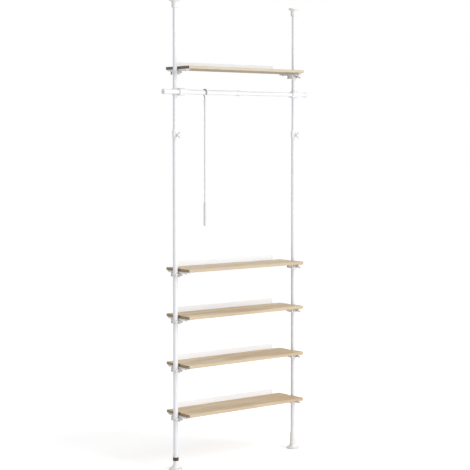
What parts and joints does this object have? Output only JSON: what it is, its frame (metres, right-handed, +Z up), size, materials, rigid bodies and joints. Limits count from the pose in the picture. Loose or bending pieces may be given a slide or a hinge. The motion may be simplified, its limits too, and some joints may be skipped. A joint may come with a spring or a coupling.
{
  "type": "tension pole shelf unit",
  "caption": "Floor-to-ceiling tension pole rack with height-adjustable oak-look boards, a telescopic hanger bar and a hanging hook rod.",
  "frame": {"origin": "bottom centre of the whole unit, on the floor between the two feet", "axes": "+Z up, +X along the boards to the right as seen from the front, +Y to the back"},
  "size_m": [0.965, 0.2, 2.4],
  "materials": {
    "tube_white": "satin white powder coat",
    "strip_white": "satin cool white powder coat",
    "plastic_ivory": "moulded ivory plastic with a soft sheen",
    "ring_brown": "moulded dark brown plastic",
    "board_oak": "light oak print with a matt clear coat",
    "fastener_steel": "zinc plated steel",
    "rod_grey": "pale grey coat"
  },
  "bodies": {
    "frame": {"lower_tube_left": "tube_white", "lower_tube_right": "tube_white", "lock_collars": "plastic_ivory", "foot_sleeves": "plastic_ivory"},
    "upper_pole_left": {"upper_tube_left": "tube_white", "ceiling_pad_left": "plastic_ivory"},
    "lock_knob_left": {"lock_knob_left": "plastic_ivory"},
    "foot_left": {"foot_left": "plastic_ivory"},
    "jack_ring_left": {"jack_ring_left": "ring_brown"},
    "upper_pole_right": {"upper_tube_right": "tube_white", "ceiling_pad_right": "plastic_ivory"},
    "lock_knob_right": {"lock_knob_right": "plastic_ivory"},
    "foot_right": {"foot_right": "plastic_ivory"},
    "jack_ring_right": {"jack_ring_right": "ring_brown"},
    "foot_cover": {"foot_cover_right": "plastic_ivory"},
    "shelf_1": {"shelf_1_board": "board_oak", "shelf_1_back_strip": "strip_white", "shelf_1_brackets": "plastic_ivory", "shelf_1_jaws": "plastic_ivory", "shelf_1_fasteners": "fastener_steel"},
    "shelf_1_knob_left": {"shelf_1_knob_left": "plastic_ivory"},
    "shelf_1_knob_right": {"shelf_1_knob_right": "plastic_ivory"},
    "shelf_2": {"shelf_2_board": "board_oak", "shelf_2_back_strip": "strip_white", "shelf_2_brackets": "plastic_ivory", "shelf_2_jaws": "plastic_ivory", "shelf_2_fasteners": "fastener_steel"},
    "shelf_2_knob_left": {"shelf_2_knob_left": "plastic_ivory"},
    "shelf_2_knob_right": {"shelf_2_knob_right": "plastic_ivory"},
    "shelf_3": {"shelf_3_board": "board_oak", "shelf_3_back_strip": "strip_white", "shelf_3_brackets": "plastic_ivory", "shelf_3_jaws": "plastic_ivory", "shelf_3_fasteners": "fastener_steel"},
    "shelf_3_knob_left": {"shelf_3_knob_left": "plastic_ivory"},
    "shelf_3_knob_right": {"shelf_3_knob_right": "plastic_ivory"},
    "shelf_4": {"shelf_4_board": "board_oak", "shelf_4_back_strip": "strip_white", "shelf_4_brackets": "plastic_ivory", "shelf_4_jaws": "plastic_ivory", "shelf_4_fasteners": "fastener_steel"},
    "shelf_4_knob_left": {"shelf_4_knob_left": "plastic_ivory"},
    "shelf_4_knob_right": {"shelf_4_knob_right": "plastic_ivory"},
    "shelf_5": {"shelf_5_board": "board_oak", "shelf_5_back_strip": "strip_white", "shelf_5_brackets": "plastic_ivory", "shelf_5_jaws": "plastic_ivory", "shelf_5_fasteners": "fastener_steel"},
    "shelf_5_knob_left": {"shelf_5_knob_left": "plastic_ivory"},
    "shelf_5_knob_right": {"shelf_5_knob_right": "plastic_ivory"},
    "hanger_bar": {"bar_outer_tube": "tube_white", "bar_joint_collar": "plastic_ivory", "bar_clamps": "plastic_ivory", "bar_clamp_screws": "fastener_steel", "bar_cap_left": "plastic_ivory"},
    "bar_inner": {"bar_inner_tube": "tube_white", "bar_cap_right": "plastic_ivory"},
    "hook_rod": {"rod_hook": "rod_grey", "rod_shaft": "rod_grey", "rod_grip": "rod_grey"}
  },
  "joints": [
    {"name": "pole_height_left", "type": "slide", "parent": "frame", "child": "upper_pole_left", "axis": [0, 0, 1], "range_m": [-0.08, 0.15]},
    {"name": "pole_height_right", "type": "slide", "parent": "frame", "child": "upper_pole_right", "axis": [0, 0, 1], "range_m": [-0.08, 0.15]},
    {"name": "lock_knob_left_turn", "type": "hinge", "parent": "frame", "child": "lock_knob_left", "pos_m": [-0.3885, 0, 1.716], "axis": [0, 1, 0], "range_deg": [0, 360]},
    {"name": "foot_left_extend", "type": "slide", "parent": "frame", "child": "foot_left", "axis": [0, 0, -1], "range_m": [0, 0.016]},
    {"name": "jack_ring_left_turn", "type": "hinge", "parent": "frame", "child": "jack_ring_left", "pos_m": [-0.3885, 0, 0.046], "axis": [0, 0, 1], "range_deg": [0, 1440]},
    {"name": "lock_knob_right_turn", "type": "hinge", "parent": "frame", "child": "lock_knob_right", "pos_m": [0.4115, 0, 1.716], "axis": [0, 1, 0], "range_deg": [0, 360]},
    {"name": "foot_right_extend", "type": "slide", "parent": "frame", "child": "foot_right", "axis": [0, 0, -1], "range_m": [0, 0.016]},
    {"name": "jack_ring_right_turn", "type": "hinge", "parent": "frame", "child": "jack_ring_right", "pos_m": [0.4115, 0, 0.046], "axis": [0, 0, 1], "range_deg": [0, 1440]},
    {"name": "foot_cover_lift", "type": "slide", "parent": "frame", "child": "foot_cover", "axis": [0, 0, 1], "range_m": [0, 0.1]},
    {"name": "shelf_1_height", "type": "slide", "parent": "frame", "child": "shelf_1", "axis": [0, 0, 1], "range_m": [-0.12, 0.08]},
    {"name": "shelf_1_knob_left_turn", "type": "hinge", "parent": "shelf_1", "child": "shelf_1_knob_left", "pos_m": [-0.3885, 0, 0.2605], "axis": [0, 1, 0], "range_deg": [0, 360]},
    {"name": "shelf_1_knob_right_turn", "type": "hinge", "parent": "shelf_1", "child": "shelf_1_knob_right", "pos_m": [0.4115, 0, 0.2605], "axis": [0, 1, 0], "range_deg": [0, 360]},
    {"name": "shelf_2_height", "type": "slide", "parent": "frame", "child": "shelf_2", "axis": [0, 0, 1], "range_m": [-0.08, 0.08]},
    {"name": "shelf_2_knob_left_turn", "type": "hinge", "parent": "shelf_2", "child": "shelf_2_knob_left", "pos_m": [-0.3885, 0, 0.5115], "axis": [0, 1, 0], "range_deg": [0, 360]},
    {"name": "shelf_2_knob_right_turn", "type": "hinge", "parent": "shelf_2", "child": "shelf_2_knob_right", "pos_m": [0.4115, 0, 0.5115], "axis": [0, 1, 0], "range_deg": [0, 360]},
    {"name": "shelf_3_height", "type": "slide", "parent": "frame", "child": "shelf_3", "axis": [0, 0, 1], "range_m": [-0.08, 0.08]},
    {"name": "shelf_3_knob_left_turn", "type": "hinge", "parent": "shelf_3", "child": "shelf_3_knob_left", "pos_m": [-0.3885, 0, 0.7615], "axis": [0, 1, 0], "range_deg": [0, 360]},
    {"name": "shelf_3_knob_right_turn", "type": "hinge", "parent": "shelf_3", "child": "shelf_3_knob_right", "pos_m": [0.4115, 0, 0.7615], "axis": [0, 1, 0], "range_deg": [0, 360]},
    {"name": "shelf_4_height", "type": "slide", "parent": "frame", "child": "shelf_4", "axis": [0, 0, 1], "range_m": [-0.08, 0.08]},
    {"name": "shelf_4_knob_left_turn", "type": "hinge", "parent": "shelf_4", "child": "shelf_4_knob_left", "pos_m": [-0.3885, 0, 1.0015], "axis": [0, 1, 0], "range_deg": [0, 360]},
    {"name": "shelf_4_knob_right_turn", "type": "hinge", "parent": "shelf_4", "child": "shelf_4_knob_right", "pos_m": [0.4115, 0, 1.0015], "axis": [0, 1, 0], "range_deg": [0, 360]},
    {"name": "shelf_5_height", "type": "slide", "parent": "upper_pole_left", "child": "shelf_5", "axis": [0, 0, 1], "range_m": [-0.015, 0.2]},
    {"name": "shelf_5_knob_left_turn", "type": "hinge", "parent": "shelf_5", "child": "shelf_5_knob_left", "pos_m": [-0.3885, 0, 2.0305], "axis": [0, 1, 0], "range_deg": [0, 360]},
    {"name": "shelf_5_knob_right_turn", "type": "hinge", "parent": "shelf_5", "child": "shelf_5_knob_right", "pos_m": [0.4115, 0, 2.0305], "axis": [0, 1, 0], "range_deg": [0, 360]},
    {"name": "hanger_bar_height", "type": "slide", "parent": "upper_pole_left", "child": "hanger_bar", "axis": [0, 0, 1], "range_m": [-0.08, 0.015]},
    {"name": "bar_telescope", "type": "slide", "parent": "hanger_bar", "child": "bar_inner", "axis": [1, 0, 0], "range_m": [-0.03, 0.1]},
    {"name": "hook_rod_swing", "type": "hinge", "parent": "hanger_bar", "child": "hook_rod", "pos_m": [-0.2165, -0.0245, 1.934], "axis": [1, 0, 0], "range_deg": [-60, 60]}
  ],
  "couplings": [
    {"joint": "pole_height_right", "follows": "pole_height_left", "ratio": 1},
    {"joint": "jack_ring_left_turn", "follows": "foot_left_extend", "rad_per_m": 1570.8},
    {"joint": "jack_ring_right_turn", "follows": "foot_right_extend", "rad_per_m": 1570.8}
  ]
}
